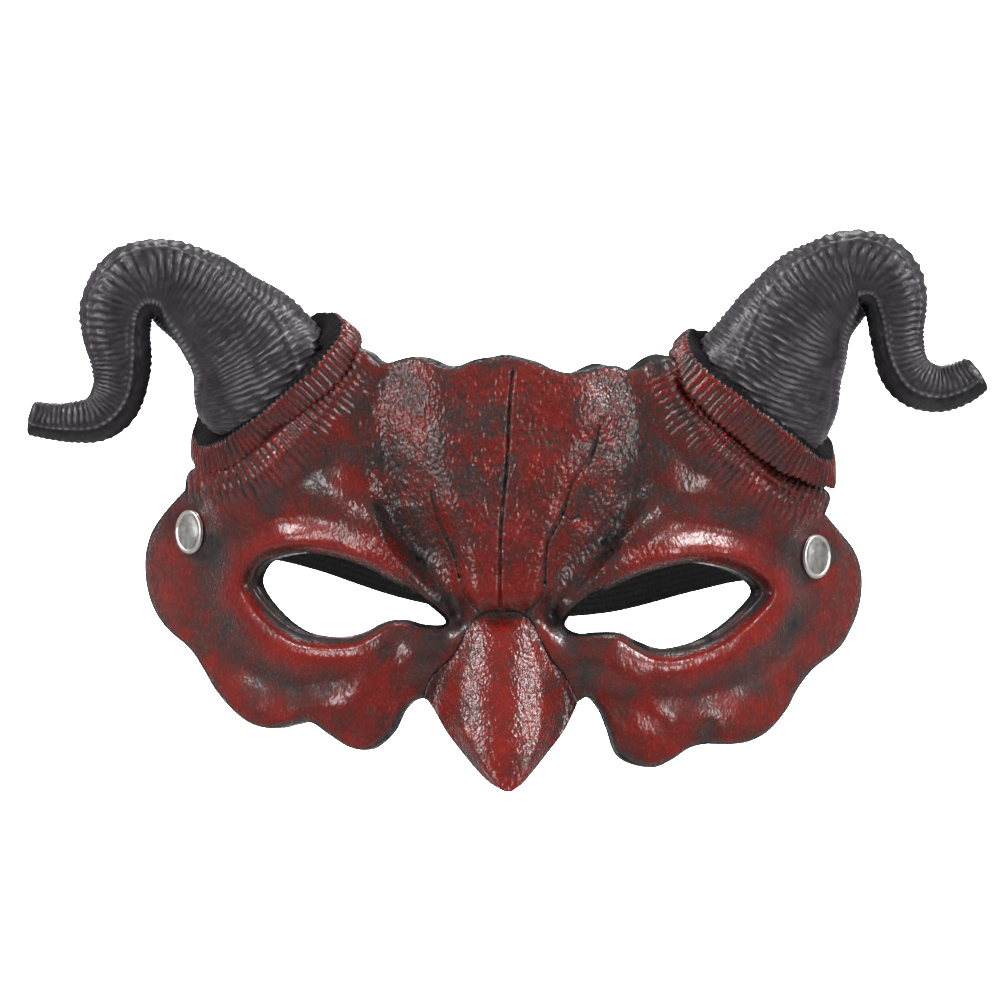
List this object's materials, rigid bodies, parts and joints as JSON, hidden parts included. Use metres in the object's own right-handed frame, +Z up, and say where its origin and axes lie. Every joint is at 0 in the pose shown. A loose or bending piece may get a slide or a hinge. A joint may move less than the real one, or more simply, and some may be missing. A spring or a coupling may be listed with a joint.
{
  "type": "horned half mask",
  "caption": "Moulded half mask with a hooked beak nose, almond eye openings, curled horns in pleated collars and an elastic head strap.",
  "frame": {"origin": "mid-plane of the mask at eye height, where the bridge of the wearer's nose sits", "axes": "+X towards the right-hand side as seen by a viewer in front, +Y to the back of the wearer's head, +Z up"},
  "size_m": [0.2401, 0.1542, 0.1398],
  "materials": {
    "red_foam": "satin painted",
    "dark_horn": "satin painted",
    "cap_metal": "satin, worn",
    "elastic": "woven"
  },
  "bodies": {
    "mask": {"face_shell": "red_foam", "nose_beak": "red_foam", "horn_left": "dark_horn", "horn_right": "dark_horn", "horn_collar_left": "red_foam", "horn_collar_right": "red_foam", "rivet_cap_left": "cap_metal", "rivet_cap_right": "cap_metal", "rivet_post_left": "cap_metal", "rivet_post_right": "cap_metal", "strap_end_left": "elastic", "strap_end_right": "elastic"},
    "strap": {"strap_loop": "elastic"}
  },
  "joints": [
    {"name": "strap_swing", "type": "hinge", "parent": "mask", "child": "strap", "pos_m": [0, 0.065, 0.0139], "axis": [0.9993, 0, -0.0372], "range_deg": [-80, 80]}
  ]
}
